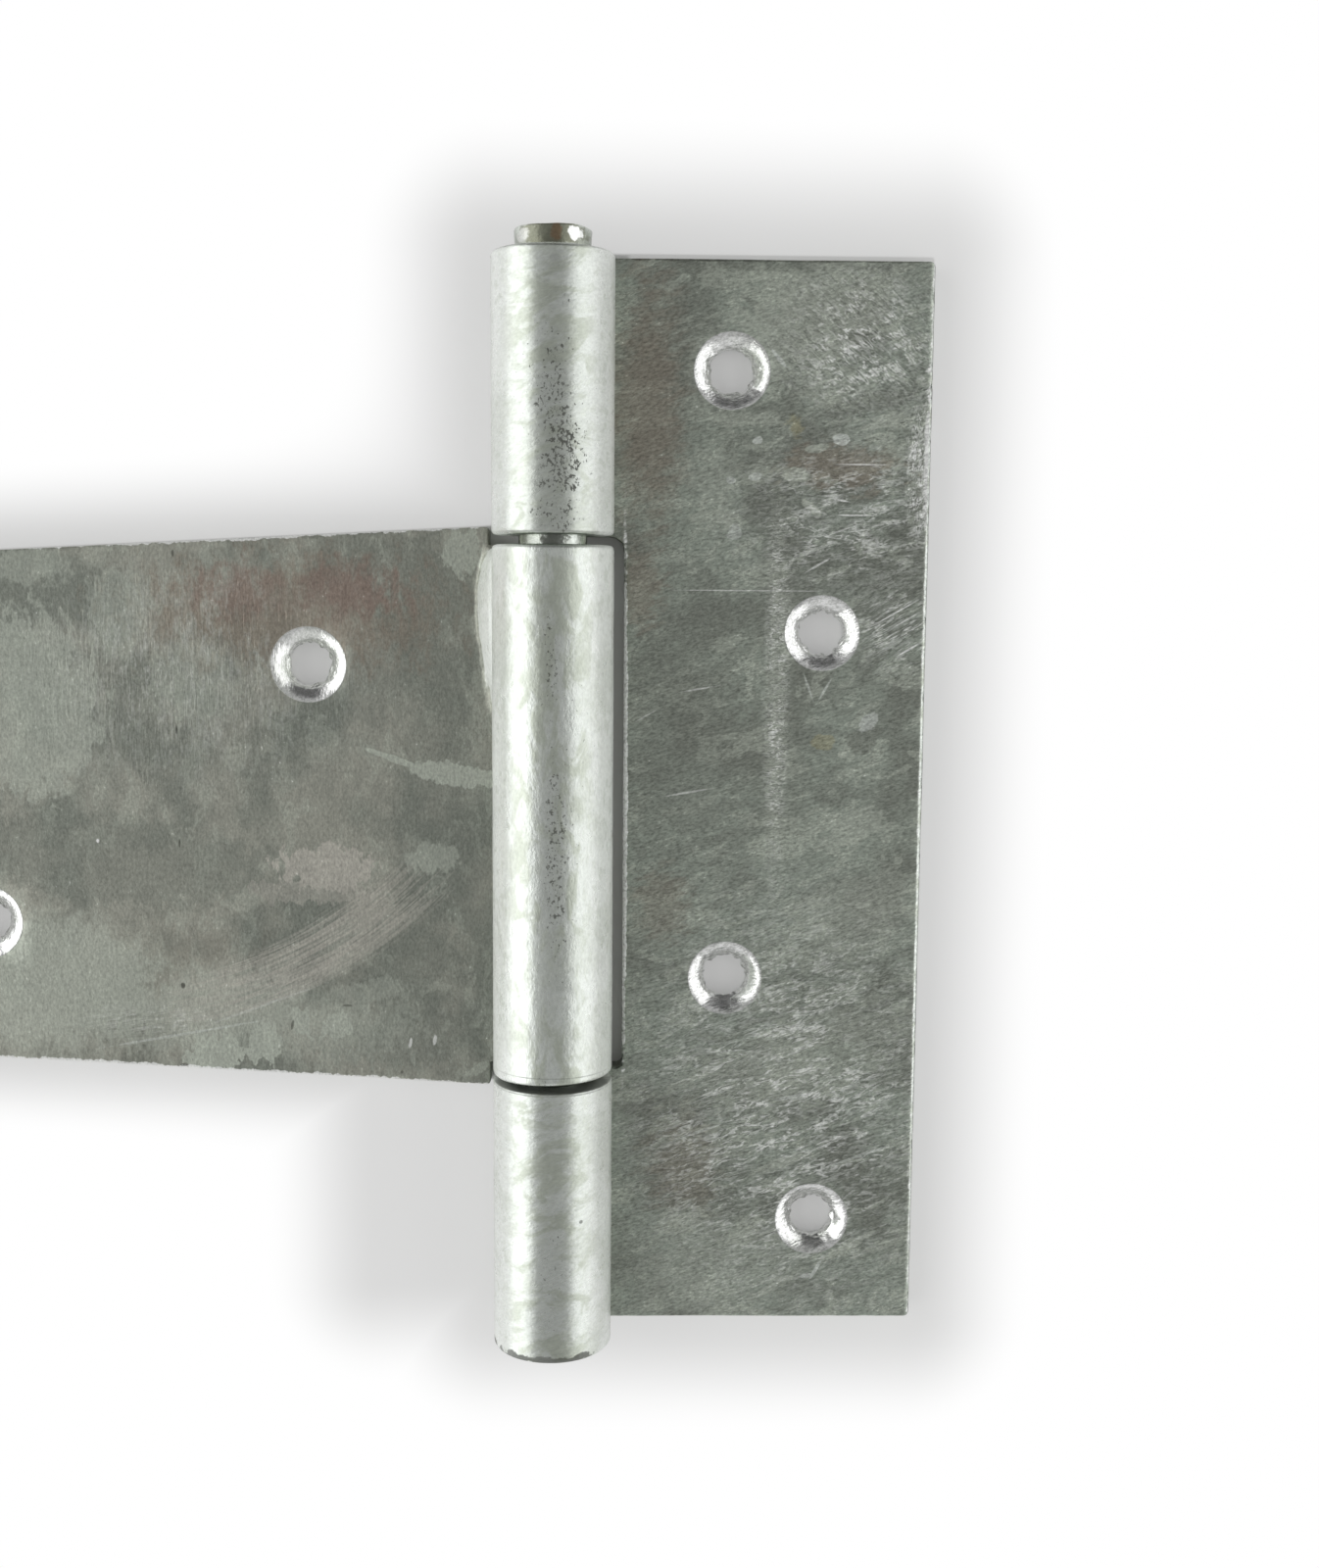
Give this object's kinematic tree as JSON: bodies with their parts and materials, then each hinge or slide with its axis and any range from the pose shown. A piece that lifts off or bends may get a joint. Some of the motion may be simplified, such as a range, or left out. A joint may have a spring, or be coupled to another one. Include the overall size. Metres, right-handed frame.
{
  "type": "tee hinge",
  "caption": "Heavy galvanised tee hinge: a long tapered strap and a rectangular back flap, each rolled into knuckles around one thick pin, with countersunk screw holes.",
  "frame": {"origin": "on the plane of both backs, under the pin's axis, at the middle of the back flap's height", "axes": "+Y along the pin towards its head, +X from the pin across the back flap, +Z out of the screw face, where the barrel and the countersinks are"},
  "size_m": [0.5115, 0.1837, 0.0197],
  "materials": {
    "leaf_zinc": "hot-dip galvanised, dull mottled zinc",
    "pin_zinc": "galvanised, darker at the head"
  },
  "bodies": {
    "flap": {"flap": "leaf_zinc", "pin": "pin_zinc"},
    "strap": {"strap": "leaf_zinc"}
  },
  "joints": [
    {"name": "pin_turn", "type": "hinge", "parent": "flap", "child": "strap", "pos_m": [0, 0, 0.00985], "axis": [0, 1, 0], "range_deg": [-90, 180]}
  ]
}
